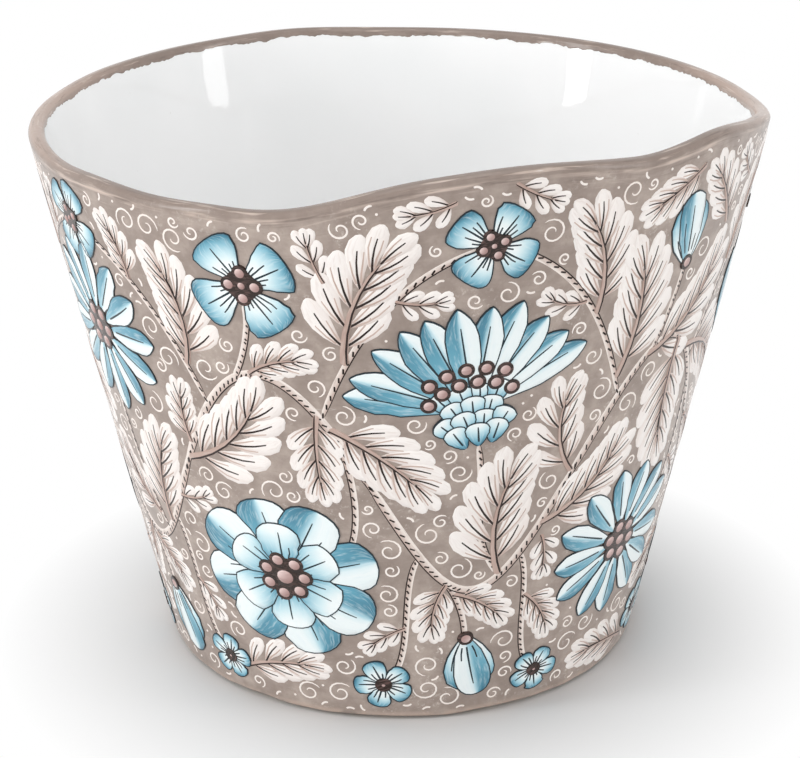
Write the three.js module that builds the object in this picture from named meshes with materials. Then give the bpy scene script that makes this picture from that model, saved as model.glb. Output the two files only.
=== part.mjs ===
// Flower pot: a tapered earthenware pot whose lip is drawn up in soft swells on one side.
// The outside is coated with coloured slip that folds over the lip, and the inside is lined with white glaze.
// A rubber stopper closes the drain hole from inside, and felt pads lie under the foot ring.
// Millimetres, +Z up. The origin is on the pot's axis, on the surface that it stands on.
import * as THREE from "three";
import { mergeVertices } from "three/addons/utils/BufferGeometryUtils.js";

// Pot: the outside is a cone between these two circles.
const FOOT_RADIUS = 74.4; // painted outside, run down to the foot
const LIP_RADIUS = 110; // painted outside, at the lip where it has no swell
const LIP_HEIGHT = 165; // foot to the top of the lip where it has no swell
const CLAY_WALL = 3.4; // clay, square to the wall
const CLAY_FLOOR = 7; // clay, between the foot recess and the inside
const LIP_ROUND = 1.3; // edge radius on both sides of the clay lip
const FOOT_ROUND = 1.8; // edge radius where the wall turns under to the foot
const FLOOR_ROUND = 12; // hollow between the inside wall and the floor
const FOOT_RING_WIDTH = 18; // foot ring, from the outside wall to the hollow
const FOOT_RECESS = 4; // how far the underside is hollowed inside the ring
const RECESS_SLOPE = 3; // how far the side of that hollow leans in
const DRAIN_RADIUS = 11;

// Lip swells: where each peaks and how far it spreads to either side (degrees from +X towards +Y), and its rise
const LIP_SWELLS = [
  { at: -78, spread: 36, rise: 11.9 },
  { at: -36, spread: 49, rise: 9.5 },
  { at: -40, spread: 16, rise: 2.6 },
  { at: 113, spread: 68, rise: 1.5 },
];

// Coats on the clay
const SLIP_COAT = 0.5; // coloured slip outside
const GLAZE_COAT = 0.5; // white glaze inside
const COAT_GAP = 0.1; // keeps the facets of a coat and of the clay under it apart
const SLIP_BAND = 1.8; // how far the slip reaches down the inside of the lip
const BAND_GAP = 0.3; // between the end of the slip band and the top of the glaze

// Felt pads
const PAD_COUNT = 4;
const PAD_RADIUS = 6;
const PAD_THICKNESS = 1.2;
const PAD_CHAMFER = 0.3;

// Drain stopper
const STOPPER_CLEARANCE = 0.3; // round the plug in the drain hole
const STOPPER_TAPER = 0.8; // how much narrower the plug is at its lower end
const STOPPER_REACH = 1.5; // how far the plug comes out below the floor
const FLANGE_OVERLAP = 6; // how far the flange covers the floor round the hole
const FLANGE_THICKNESS = 2.4;
const FLANGE_ROUND = 1;
const NECK_RADIUS = 3.2;
const NECK_HEIGHT = 3;
const KNOB_RADIUS = 5.5;
const KNOB_HEIGHT = 6;

// Facets
const POT_SEGMENTS = 72;
const PAD_SEGMENTS = 20;
const STOPPER_SEGMENTS = 28;
const ARC_STEPS = 4;

// The wall leans out by LEAN for each unit of height. Its outward normal dips by LEAN_ANGLE.
const LEAN = (LIP_RADIUS - FOOT_RADIUS) / LIP_HEIGHT;
const LEAN_ANGLE = Math.atan(LEAN);
const ACROSS = Math.hypot(1, LEAN); // radial width of a layer that is one unit thick, square to the wall

const SLIP_DEPTH = SLIP_COAT + COAT_GAP; // from the painted outside to the clay
const CLAY_TOP = LIP_HEIGHT - SLIP_DEPTH;
const FLOOR_TOP = FOOT_RECESS + CLAY_FLOOR;
const BAND_END = CLAY_TOP - SLIP_BAND;
const GLAZE_SEAT = COAT_GAP + GLAZE_COAT; // from the clay to the face of the glaze

// Radius of the clay's two faces at a height
const clayOutside = (z) => FOOT_RADIUS + LEAN * z - SLIP_DEPTH * ACROSS;
const clayInside = (z) => clayOutside(z) - CLAY_WALL * ACROSS;

// How far the lip rises above LIP_HEIGHT at an angle round the pot, in radians
function lipRise(angle) {
  let rise = 0;
  for (const swell of LIP_SWELLS) {
    const turn = THREE.MathUtils.radToDeg(angle) - swell.at;
    const away = THREE.MathUtils.euclideanModulo(turn + 180, 360) - 180;
    if (Math.abs(away) < swell.spread) {
      rise += (swell.rise * (1 + Math.cos((Math.PI * away) / swell.spread))) / 2;
    }
  }
  return rise;
}

// Points of an arc in the half plane of a profile, from one angle to another
function arc(radius, z, size, from, to, steps = ARC_STEPS) {
  return Array.from({ length: steps + 1 }, (_, i) => {
    const angle = from + ((to - from) * i) / steps;
    return new THREE.Vector2(radius + size * Math.cos(angle), z + size * Math.sin(angle));
  });
}

// Faces of the clay at a distance "off" from it. Each is a run of arcs, and straight walls join their ends.
const UP = Math.PI / 2;
const DOWN = -Math.PI / 2;

function footArc(off) {
  const r = clayOutside(FOOT_ROUND) - FOOT_ROUND * ACROSS;
  return arc(r, FOOT_ROUND, FOOT_ROUND + off, DOWN, -LEAN_ANGLE);
}

function lipArcs(off) {
  const z = CLAY_TOP - LIP_ROUND;
  const outer = clayOutside(z) - LIP_ROUND * ACROSS;
  const inner = clayInside(z) + LIP_ROUND * ACROSS;
  return [
    ...arc(outer, z, LIP_ROUND + off, -LEAN_ANGLE, UP),
    ...arc(inner, z, LIP_ROUND + off, UP, Math.PI - LEAN_ANGLE),
  ];
}

function floorArc(off) {
  const z = FLOOR_TOP + FLOOR_ROUND;
  const r = clayInside(z) - FLOOR_ROUND * ACROSS;
  return arc(r, z, FLOOR_ROUND - off, -LEAN_ANGLE, DOWN);
}

function insideWall(z, off) {
  const away = new THREE.Vector2(-Math.cos(LEAN_ANGLE), Math.sin(LEAN_ANGLE)).multiplyScalar(off);
  return new THREE.Vector2(clayInside(z), z).add(away);
}

// Turns a profile about +Z. A profile that does not start and end on the axis closes on itself.
function turned(profile, segments) {
  const onAxis = profile[0].x === 0;
  const loop = onAxis ? profile : [...profile, profile[0]];
  const geometry = new THREE.LatheGeometry(loop, segments).rotateX(UP);
  geometry.deleteAttribute("normal");
  geometry.deleteAttribute("uv");
  return mergeVertices(geometry);
}

// Draws the upper half of a turned shell up along the wall by the swells: the wall stays a straight cone.
function drawnUp(geometry) {
  const place = geometry.getAttribute("position");
  for (let i = 0; i < place.count; i++) {
    if (place.getZ(i) < LIP_HEIGHT / 2) continue;
    const angle = Math.atan2(place.getY(i), place.getX(i));
    const rise = lipRise(angle);
    place.setXYZ(
      i,
      place.getX(i) + Math.cos(angle) * rise * LEAN,
      place.getY(i) + Math.sin(angle) * rise * LEAN,
      place.getZ(i) + rise,
    );
  }
  return geometry;
}

function piece(name, geometry, material) {
  geometry.computeVertexNormals();
  const mesh = new THREE.Mesh(geometry, material);
  mesh.name = name;
  return mesh;
}

// The fired clay: foot ring, recessed underside, wall, lip, floor and drain hole.
function clayBody() {
  const ringInside = clayOutside(0) - FOOT_RING_WIDTH;
  const profile = [
    new THREE.Vector2(DRAIN_RADIUS, FOOT_RECESS),
    new THREE.Vector2(ringInside - RECESS_SLOPE, FOOT_RECESS),
    new THREE.Vector2(ringInside, 0),
    ...footArc(0),
    ...lipArcs(0),
    ...floorArc(0),
    new THREE.Vector2(DRAIN_RADIUS, FLOOR_TOP),
  ];
  const material = new THREE.MeshStandardMaterial({ color: 0xd8c4ae, roughness: 0.85, metalness: 0 });
  return piece("clay_body", drawnUp(turned(profile, POT_SEGMENTS)), material);
}

// The coloured slip: from halfway round the foot's edge, up the wall, over the lip and just down inside it.
function slipCoat() {
  const face = (off) => [
    ...footArc(off).slice(ARC_STEPS / 2),
    ...lipArcs(off),
    insideWall(BAND_END, off),
  ];
  const profile = [...face(SLIP_DEPTH), ...face(COAT_GAP).reverse()];
  const material = new THREE.MeshStandardMaterial({ color: 0x9c8a80, roughness: 0.45, metalness: 0 });
  return piece("slip_coat", drawnUp(turned(profile, POT_SEGMENTS)), material);
}

// The white glaze: from under the slip band, down the inside wall and over the floor to the drain hole.
function glazeLining() {
  const face = (off) => [
    insideWall(BAND_END - BAND_GAP, off),
    ...floorArc(off),
    new THREE.Vector2(DRAIN_RADIUS, FLOOR_TOP + off),
  ];
  const profile = [...face(GLAZE_SEAT), ...face(COAT_GAP).reverse()];
  const material = new THREE.MeshStandardMaterial({ color: 0xf4f4f2, roughness: 0.12, metalness: 0 });
  return piece("glaze_lining", drawnUp(turned(profile, POT_SEGMENTS)), material);
}

// The rubber stopper, its flange's underside at height 0: a tapered plug, a flange and a knob to pull it by.
function drainStopper() {
  const plugRadius = DRAIN_RADIUS - STOPPER_CLEARANCE;
  const plugLength = CLAY_FLOOR + GLAZE_SEAT + STOPPER_REACH;
  const flangeRadius = DRAIN_RADIUS + FLANGE_OVERLAP;
  const neckTop = FLANGE_THICKNESS + NECK_HEIGHT;
  const profile = [
    new THREE.Vector2(0, -plugLength),
    new THREE.Vector2(plugRadius - STOPPER_TAPER, -plugLength),
    new THREE.Vector2(plugRadius, 0),
    new THREE.Vector2(flangeRadius, 0),
    ...arc(flangeRadius - FLANGE_ROUND, FLANGE_THICKNESS - FLANGE_ROUND, FLANGE_ROUND, 0, UP),
    new THREE.Vector2(NECK_RADIUS, FLANGE_THICKNESS),
    new THREE.Vector2(NECK_RADIUS, neckTop),
    ...new THREE.EllipseCurve(0, neckTop + KNOB_HEIGHT / 2, KNOB_RADIUS, KNOB_HEIGHT / 2, -UP / 2, UP)
      .getPoints(2 * ARC_STEPS)
      .slice(0, -1),
    new THREE.Vector2(0, neckTop + KNOB_HEIGHT),
  ];
  const material = new THREE.MeshStandardMaterial({ color: 0x3a3836, roughness: 0.7, metalness: 0 });
  return piece("drain_stopper", turned(profile, STOPPER_SEGMENTS), material);
}

// One felt pad, with its lower face at height 0.
function feltPad(name) {
  const profile = [
    new THREE.Vector2(0, 0),
    new THREE.Vector2(PAD_RADIUS - PAD_CHAMFER, 0),
    new THREE.Vector2(PAD_RADIUS, PAD_CHAMFER),
    new THREE.Vector2(PAD_RADIUS, PAD_THICKNESS),
    new THREE.Vector2(0, PAD_THICKNESS),
  ];
  const material = new THREE.MeshStandardMaterial({ color: 0x8d8781, roughness: 0.95, metalness: 0 });
  return piece(name, turned(profile, PAD_SEGMENTS), material);
}

// Assembly: the pads stand on the ground, the pot stands on the pads, and the stopper sits on the glazed floor.
const flowerPot = new THREE.Group();

const pot = new THREE.Group();
pot.position.z = PAD_THICKNESS;
pot.add(clayBody(), slipCoat(), glazeLining());
flowerPot.add(pot);

const stopper = drainStopper();
stopper.position.z = FLOOR_TOP + GLAZE_SEAT;
pot.add(stopper);

const footFlatOutside = clayOutside(FOOT_ROUND) - FOOT_ROUND * ACROSS;
const footFlatInside = clayOutside(0) - FOOT_RING_WIDTH;
const padCircle = (footFlatOutside + footFlatInside) / 2;
for (let i = 0; i < PAD_COUNT; i++) {
  const angle = ((i + 0.5) / PAD_COUNT) * 2 * Math.PI;
  const pad = feltPad(`felt_pad_${i + 1}`);
  pad.position.set(padCircle * Math.cos(angle), padCircle * Math.sin(angle), 0);
  flowerPot.add(pad);
}

export default flowerPot;
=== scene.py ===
import functools
import math

import bpy
import numpy as np
from mathutils import Matrix, Vector


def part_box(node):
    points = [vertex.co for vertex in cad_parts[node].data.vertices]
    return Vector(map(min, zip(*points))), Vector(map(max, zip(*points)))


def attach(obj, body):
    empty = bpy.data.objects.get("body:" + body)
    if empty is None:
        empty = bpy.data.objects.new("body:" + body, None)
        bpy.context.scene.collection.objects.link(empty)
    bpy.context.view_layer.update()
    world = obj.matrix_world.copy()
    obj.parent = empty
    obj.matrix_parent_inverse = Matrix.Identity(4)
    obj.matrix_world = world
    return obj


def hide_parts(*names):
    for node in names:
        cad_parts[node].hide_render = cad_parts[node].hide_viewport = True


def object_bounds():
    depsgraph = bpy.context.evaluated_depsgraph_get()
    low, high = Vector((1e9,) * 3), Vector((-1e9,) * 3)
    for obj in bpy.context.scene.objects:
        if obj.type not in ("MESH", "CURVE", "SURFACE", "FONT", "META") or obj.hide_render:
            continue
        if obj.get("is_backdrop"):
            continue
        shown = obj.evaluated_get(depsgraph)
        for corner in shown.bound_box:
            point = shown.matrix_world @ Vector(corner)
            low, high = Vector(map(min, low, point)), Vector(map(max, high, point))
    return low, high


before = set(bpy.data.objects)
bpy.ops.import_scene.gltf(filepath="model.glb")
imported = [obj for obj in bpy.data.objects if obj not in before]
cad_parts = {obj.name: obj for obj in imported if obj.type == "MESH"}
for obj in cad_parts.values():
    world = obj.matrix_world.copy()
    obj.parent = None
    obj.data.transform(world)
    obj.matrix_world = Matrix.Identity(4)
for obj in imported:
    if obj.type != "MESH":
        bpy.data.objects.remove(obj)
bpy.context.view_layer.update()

# Clay body: thrown earthenware, fired to a pale buff. The wall is a straight cone, and the lip is drawn up by
# hand in soft swells. The foot ring, its hollow and the drain hole are trimmed while the clay is firm.
MM = 0.001
FOOT_RADIUS = 74.4 * MM  # painted outside, run down to the foot
LIP_RADIUS = 110 * MM  # painted outside, where the lip has no swell
LIP_HEIGHT = 165 * MM  # foot to lip, where it has no swell
CLAY_WALL = 3.4 * MM
CLAY_FLOOR = 7 * MM
COAT = 0.6 * MM  # slip or glaze, from the clay to its face
LIP_ROUND = 1.3 * MM
FOOT_ROUND = 1.8 * MM
FLOOR_ROUND = 12 * MM
FOOT_RING = 18 * MM
RING_BEVEL = (0.6 * MM, 0.4 * MM)  # width and height
FOOT_HOLLOW = 4 * MM
HOLLOW_SLOPE = 3 * MM
HOLLOW_ROUND = 1 * MM
DRAIN_RADIUS = 11 * MM
DRAIN_BEVEL = 0.8 * MM
LIP_SWELLS = (  # place in degrees, spread to either side, rise
    (-78, 36, 11.9 * MM),
    (-36, 49, 9.5 * MM),
    (-40, 16, 2.6 * MM),
    (113, 68, 1.5 * MM),
)
LIP_WAVER = 0.4 * MM
SLOW_DENT = 0.25 * MM
QUICK_DENT = 0.2 * MM
CLAY_DARK = "b99a7c"
# colour of dust and painted shade in the corner of the hollow under the foot
HOLLOW_DUST_AND_SHADE = "96795e"
WHEEL_MARKS = 2600.0  # radians for each metre from the axis
SHARP_EDGE = math.radians(50)
SHELF_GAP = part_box("clay_body")[0].z  # the felt pads hold the foot ring this far off the shelf
LEAN = (LIP_RADIUS - FOOT_RADIUS) / LIP_HEIGHT
LEAN_ANGLE = math.atan(LEAN)
SIN_LEAN = math.sin(LEAN_ANGLE)
COS_LEAN = math.cos(LEAN_ANGLE)
ACROSS = math.hypot(1, LEAN)  # radial width of a layer one unit thick
CLAY_TOP = LIP_HEIGHT - COAT
FLOOR_TOP = FOOT_HOLLOW + CLAY_FLOOR
SEGMENTS = 720
ROUND = np.linspace(-math.pi, math.pi, SEGMENTS, endpoint=False)


def lip_rise(theta):
    """How far the lip stands above LIP_HEIGHT at an angle round the pot."""
    rise = np.zeros_like(theta)
    for at, spread, height in LIP_SWELLS:
        away = (np.degrees(theta) - at + 180) % 360 - 180
        near = np.abs(away) < spread
        rise += np.where(near, height * (1 + np.cos(np.pi * away / spread)) / 2, 0)
    return rise


def uneven(theta, size, slowest, fastest, seed):
    """A hand's unevenness round the pot: waves with no period in common, about "size" high."""
    draw = np.random.default_rng(seed)
    counts = np.arange(slowest, fastest + 1)
    phases = draw.uniform(0, 2 * math.pi, len(counts))
    weights = draw.uniform(0.4, 1, len(counts)) / np.sqrt(counts)
    waves = sum(w * np.sin(k * theta + p) for k, p, w in zip(counts, phases, weights))
    return size * waves / np.sqrt(np.sum(weights**2) / 2) / 2


def wall_dent(theta, up):
    """Shallow dents that the fingers left in the wall. None at the foot."""
    share = np.clip(up / LIP_HEIGHT, 0, 1.2)
    slow = uneven(theta, SLOW_DENT, 2, 5, seed=11) * np.cos(3 * share)
    return share * (slow + uneven(theta, QUICK_DENT, 2, 7, seed=12) * np.sin(4 * share))


def clay_outside(z):
    return FOOT_RADIUS + LEAN * z - COAT * ACROSS


def clay_inside(z):
    return clay_outside(z) - CLAY_WALL * ACROSS


def arc(radius, z, size, start, end, steps):
    """Points of a round edge in the half plane of a profile."""
    turn = np.linspace(start, end, steps + 1)
    return np.column_stack([radius + size * np.cos(turn), z + size * np.sin(turn)])


def straight(start, end, steps):
    """Points between two others, without the two."""
    share = np.linspace(0, 1, steps + 1)[1:-1, None]
    return np.asarray(start) * (1 - share) + np.asarray(end) * share


def foot_arc(off, steps=10):
    r = clay_outside(FOOT_ROUND) - FOOT_ROUND * ACROSS
    return arc(r, FOOT_ROUND, FOOT_ROUND + off, -math.pi / 2, -LEAN_ANGLE, steps)


def lip_edges(off, steps=8):
    """The outer and the inner rounded edge of the lip."""
    z = CLAY_TOP - LIP_ROUND
    outer = clay_outside(z) - LIP_ROUND * ACROSS
    inner = clay_inside(z) + LIP_ROUND * ACROSS
    return (arc(outer, z, LIP_ROUND + off, -LEAN_ANGLE, math.pi / 2, steps),
            arc(inner, z, LIP_ROUND + off, math.pi / 2, math.pi - LEAN_ANGLE, steps))


def floor_arc(off, steps=12):
    z = FLOOR_TOP + FLOOR_ROUND
    r = clay_inside(z) - FLOOR_ROUND * ACROSS
    return arc(r, z, FLOOR_ROUND - off, -LEAN_ANGLE, -math.pi / 2, steps)


def with_walls(*runs, steps):
    """Joins runs of a profile by straight stretches that are cut fine enough to follow the dents."""
    joined = [runs[0]]
    for run in runs[1:]:
        joined += [straight(joined[-1][-1], run[0], steps), run]
    return np.vstack(joined)


def drawn_up(profile):
    """Radius and height of every profile point at every angle, with the lip's swells and the dents."""
    r, z = profile[:, 0, None], profile[:, 1, None]
    share = np.clip((z - FLOOR_TOP) / (CLAY_TOP - LIP_ROUND - FLOOR_TOP), 0, 1)
    rise = share * (lip_rise(ROUND) + uneven(ROUND, LIP_WAVER, 3, 17, seed=13))
    return r + rise * LEAN + wall_dent(ROUND[None, :], z + rise), z + rise


def way_along(line):
    """How far each point of a line is from its first, measured along the line."""
    return np.concatenate([[0], np.cumsum(np.linalg.norm(np.diff(line, axis=0), axis=1))])


def add_object(name, data):
    made = bpy.data.objects.new(name, data)
    bpy.context.collection.objects.link(made)
    return made


def smooth_piece(name, points, faces):
    """A smooth mesh that keeps its sharp edges."""
    mesh = bpy.data.meshes.new(name)
    mesh.from_pydata(points.tolist(), [], faces)
    mesh.shade_smooth()
    mesh.set_sharp_from_angle(angle=SHARP_EDGE)
    return add_object(name, mesh)


def set_attribute(piece, name, kind, values):
    """Gives each of a piece's points a COLOR or a VECTOR that its material can read."""
    made = piece.data.attributes.new(name, "FLOAT_" + kind, "POINT")
    made.data.foreach_set(kind.lower(), values.astype(np.float32).ravel())


def turned(name, radius, height):
    """A closed shell: rows of points round the axis, each joined to the next and the last to the first."""
    points = np.stack([radius * np.cos(ROUND), radius * np.sin(ROUND), height + SHELF_GAP], -1)
    at = np.arange(radius.size).reshape(radius.shape)
    above = np.roll(at, -1, 0)
    corners = np.stack([at, np.roll(at, -1, 1), np.roll(above, -1, 1), above], -1)
    return smooth_piece(name, points.reshape(-1, 3), corners.reshape(-1, 4).tolist())


def colour(code):
    """A colour written as six hex digits, as the linear values that a shader takes."""
    shown = np.array([int(code[i:i + 2], 16) / 255 for i in (0, 2, 4)])
    return np.where(shown <= 0.04045, shown / 12.92, ((shown + 0.055) / 1.055) ** 2.4)


def rgba(code):
    return (*colour(code), 1)


def set_inputs(tree, node, inputs):
    """Links each input to a socket, or sets it to a value."""
    for key, value in inputs.items():
        if isinstance(value, bpy.types.NodeSocket):
            tree.links.new(value, node.inputs[key])
        else:
            node.inputs[key].default_value = value


def add_node(tree, kind, inputs=None, **settings):
    made = tree.nodes.new(kind)
    for key, value in settings.items():
        setattr(made, key, value)
    set_inputs(tree, made, inputs or {})
    return made


def mixed(tree, share, first, second, blend="MIX"):
    """The colour between two others."""
    inputs = {0: share, 6: first, 7: second}
    return add_node(tree, "ShaderNodeMix", inputs, data_type="RGBA", blend_type=blend).outputs[2]


def between(tree, value, low, high, to_low=0.0, to_high=1.0):
    """A value moved from one range to another and kept inside it."""
    inputs = {0: value, 1: low, 2: high, 3: to_low, 4: to_high}
    return add_node(tree, "ShaderNodeMapRange", inputs).outputs[0]


def sums(tree, kind, first, second=0.0):
    return add_node(tree, "ShaderNodeMath", {0: first, 1: second}, operation=kind).outputs[0]


def times(tree, first, second):
    return sums(tree, "MULTIPLY", first, second)


def noise(tree, place, scale, detail=3.0, roughness=0.5):
    inputs = {"Vector": place, "Scale": scale, "Detail": detail, "Roughness": roughness}
    return add_node(tree, "ShaderNodeTexNoise", inputs).outputs["Fac"]


def layered(tree, ground, *layers):
    """A ground colour with others laid over it, each as far as its mask goes."""
    for mask, code in layers:
        ground = mixed(tree, mask, ground, rgba(code))
    return ground


def set_finish(tree, shader, shade, grain, roughness, bump, relief=None):
    """Colour, a roughness that follows the grain between two values, and bump of some strength and depth."""
    strength, depth = bump
    inputs = {"Strength": strength, "Distance": depth, "Height": grain if relief is None else relief}
    set_inputs(tree, shader, {
        "Base Color": shade,
        "Roughness": between(tree, grain, 0.3, 0.7, *roughness),
        "Normal": add_node(tree, "ShaderNodeBump", inputs).outputs[0],
    })


def object_place(tree):
    return add_node(tree, "ShaderNodeTexCoord").outputs["Object"]


def new_group(name, inputs, outputs):
    """An empty shader node group with named sockets, what it is given, and where its results go."""
    group = bpy.data.node_groups.new(name, "ShaderNodeTree")
    for label, kind in inputs.items():
        group.interface.new_socket(label, in_out="INPUT", socket_type="NodeSocket" + kind)
    for label, kind in outputs.items():
        group.interface.new_socket(label, in_out="OUTPUT", socket_type="NodeSocket" + kind)
    return group, group.nodes.new("NodeGroupInput").outputs, group.nodes.new("NodeGroupOutput").inputs


def new_material(name):
    """A material whose node tree holds an output and a plain Principled shader."""
    material = bpy.data.materials.new(name)
    material.use_nodes = True
    return material, material.node_tree, material.node_tree.nodes["Principled BSDF"]


# Mottling group: cloudy patches and fine specks, as on any fired and brushed surface
mottling, given, results = new_group(
    "mottling",
    {"Base": "Color", "Pale": "Color", "Dark": "Color",
     "Patch Scale": "Float", "Speck Scale": "Float", "Speck Share": "Float"},
    {"Colour": "Color", "Height": "Float"},
)
place = object_place(mottling)
patches = noise(mottling, place, given["Patch Scale"], 4.0, 0.6)
specks = noise(mottling, place, given["Speck Scale"], 2.0, 0.7)
clouded = mixed(mottling, between(mottling, patches, 0.48, 0.72), given["Base"], given["Pale"])
clouded = mixed(mottling, between(mottling, patches, 0.5, 0.28), clouded, given["Dark"])
speck_mask = times(mottling, between(mottling, specks, 0.58, 0.7), given["Speck Share"])
mottling.links.new(mixed(mottling, speck_mask, clouded, given["Dark"]), results["Colour"])
mottling.links.new(specks, results["Height"])


def mottled(tree, base, pale, dark, patch_scale, speck_scale, speck_share):
    group = add_node(tree, "ShaderNodeGroup", node_tree=mottling)
    set_inputs(tree, group, {
        "Base": rgba(base), "Pale": rgba(pale), "Dark": rgba(dark),
        "Patch Scale": patch_scale, "Speck Scale": speck_scale, "Speck Share": speck_share,
    })
    return group.outputs["Colour"], group.outputs["Height"]


ring_inside = clay_outside(0) - FOOT_RING
hollow_corner = ring_inside - HOLLOW_SLOPE
clay_profile = with_walls(
    np.array([[DRAIN_RADIUS, FOOT_HOLLOW + DRAIN_BEVEL], [DRAIN_RADIUS + DRAIN_BEVEL, FOOT_HOLLOW]]),
    arc(hollow_corner, FOOT_HOLLOW - HOLLOW_ROUND, HOLLOW_ROUND, math.pi / 2, math.pi / 4, 3),
    np.array([[ring_inside, RING_BEVEL[1]], [ring_inside + RING_BEVEL[0], 0]]),
    foot_arc(0),
    np.vstack(lip_edges(0)),
    floor_arc(0),
    np.array([[DRAIN_RADIUS, FLOOR_TOP]]),
    steps=12,
)
clay_body = turned("clay_body_fired", *drawn_up(clay_profile))

clay_material, tree, shader = new_material("bare_fired_clay")
clay_colour, clay_grain = mottled(tree, base="d9c3aa", pale="e6d6c2", dark=CLAY_DARK,
                                  patch_scale=45.0, speck_scale=900.0, speck_share=0.7)
spot = add_node(tree, "ShaderNodeSeparateXYZ", {0: object_place(tree)})
squares = [times(tree, side, side) for side in spot.outputs[:2]]
from_axis = sums(tree, "SQRT", sums(tree, "ADD", *squares))
wheel_marks = sums(tree, "SINE", times(tree, from_axis, WHEEL_MARKS))
dark_marks = between(tree, wheel_marks, 0.1, 1.0, 0.0, 0.3)
# Dust and painted shade: the clay turns darker towards the corner of the hollow under the foot.
from_corner = sums(tree, "ABSOLUTE", sums(tree, "SUBTRACT", from_axis, hollow_corner))
corner_dust_and_shade = between(tree, from_corner, 3 * MM, 0.5 * MM, 0.0, 0.65)
clay_colour = layered(tree, clay_colour, (dark_marks, CLAY_DARK), (corner_dust_and_shade, HOLLOW_DUST_AND_SHADE))
rough_clay = sums(tree, "ADD", clay_grain, times(tree, wheel_marks, 0.25))
set_finish(tree, shader, clay_colour, clay_grain, (0.78, 0.92), (0.5, 0.15 * MM), rough_clay)
clay_body.data.materials.append(clay_material)
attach(clay_body, "pot")
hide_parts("clay_body")


# Glaze lining: white tin glaze, poured in and out again before the second firing. It lies in one glossy coat
# over the floor and the inside wall, and runs up to the inner edge of the lip under the painted band.
GLAZE_STEP = 4  # of the eight steps round the lip's inner edge
GLAZE_ENDS = ((1.2 * MM, 1), (0.3 * MM, 0.5))  # from the drain hole, and share of the coat's thickness there
CLAY_GAP = 0.02 * MM  # between the clay and the back of a coat
GLAZE_WHITE = "f7f7f7"
POOLED_WHITE = "f2f3f3"
PINHOLE_GREY = "dcdad6"


def lining_face(off):
    return with_walls(
        lip_edges(off)[1][GLAZE_STEP:],
        floor_arc(off),
        np.array([[DRAIN_RADIUS + away, FLOOR_TOP + off * share] for away, share in GLAZE_ENDS]),
        steps=22,
    )


lining_profile = np.vstack([lining_face(COAT), lining_face(CLAY_GAP)[::-1]])
glaze_lining = turned("glaze_lining_white", *drawn_up(lining_profile))

glaze_material, tree, shader = new_material("white_glaze")
place = object_place(tree)
pooling = noise(tree, place, 18.0, 2.0)
pinholes = noise(tree, place, 420.0, 1.0)
glaze_colour = layered(
    tree, rgba(GLAZE_WHITE),
    (between(tree, pooling, 0.4, 0.68), POOLED_WHITE),
    (between(tree, pinholes, 0.8, 0.86, 0.0, 0.5), PINHOLE_GREY),
)
fine_ripple = times(tree, noise(tree, place, 110.0), 0.12)
ripple = sums(tree, "ADD", noise(tree, place, 26.0, 1.0), fine_ripple)
set_finish(tree, shader, glaze_colour, pooling, (0.03, 0.07), (0.35, 1.2 * MM), ripple)
glaze_lining.data.materials.append(glaze_material)
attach(glaze_lining, "pot")
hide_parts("glaze_lining")


# Slip coat: taupe clay slip, brushed over the whole outside and over the lip. It stops in a wavering brush
# edge just inside the lip, on top of the white glaze, and in a wiped hem at the turn of the foot. A thin
# clear glaze covers the slip and the painting on it.
BAND_DEPTH = 1.8 * MM  # down the inside, from the top of the clay
BAND_OVER = 0.09 * MM  # the band stands this far proud of the glaze
BAND_TUCK = 0.06 * MM  # the end of its face lies this far inside the glaze
BAND_UNDER = 0.1 * MM  # and its back this far
BAND_LIFTS = (0.4 * MM, 0.15 * MM)  # of the rows above the band's end
BAND_ROWS = 3  # of the face and of the back, that waver with the brush
BAND_WAVER = 0.5 * MM
BAND_HAIRS = (-0.1 * MM, 0.16 * MM)  # mean and spread of the marks that single hairs left in its edge
BAND_HIGHEST = 0.3 * MM
HEM_STEP = 5  # of the ten steps round the foot's edge
HEM_HEIGHT = 3 * MM
HEM_WAVER = 0.5 * MM
STREAK_STRETCH = (0.07, 0.07, 1.0)  # draws streaks out round the pot
THIN_ENDS = (0.6 * LIP_RADIUS**2, 0.97 * LIP_RADIUS**2)  # squares of how far aside the lip wears thin
CLEAR_GLAZE = {"Specular IOR Level": 0.15, "Coat Weight": 0.5, "Coat Roughness": 0.15}


def inside_wall(z, off):
    return np.array([clay_inside(z) - off * COS_LEAN, z + off * SIN_LEAN])


def slip_face(off, band_off):
    """The slip's profile from the hem to the lip's outer edge, and over the lip to the end of the band."""
    band = [inside_wall(CLAY_TOP - BAND_DEPTH + lift, band_off) for lift in BAND_LIFTS]
    end = inside_wall(CLAY_TOP - BAND_DEPTH, min(band_off, COAT - BAND_TUCK))
    outside = with_walls(foot_arc(off)[HEM_STEP:], lip_edges(off)[0], steps=40)
    return np.vstack([outside, lip_edges(band_off)[1], band, [end]])


slip_front = slip_face(COAT, COAT + BAND_OVER)
slip_profile = np.vstack([slip_front, slip_face(CLAY_GAP, COAT - BAND_UNDER)[::-1]])
slip_radius, slip_height = drawn_up(slip_profile)
band_waver = uneven(ROUND, BAND_WAVER, 7, 110, seed=21)
band_waver += np.random.default_rng(23).normal(*BAND_HAIRS, SEGMENTS)
band_waver = np.minimum(band_waver, BAND_HIGHEST)
band_rows = np.arange(-BAND_ROWS, BAND_ROWS) + len(slip_front)
slip_radius[band_rows] += band_waver * LEAN
slip_height[band_rows] += band_waver
hem_share = np.clip(1 - slip_profile[:, 1] / HEM_HEIGHT, 0, 1)
slip_height += hem_share[:, None] * uneven(ROUND, HEM_WAVER, 3, 40, seed=22)
slip_coat = turned("slip_coat_taupe", slip_radius, slip_height)

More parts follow.
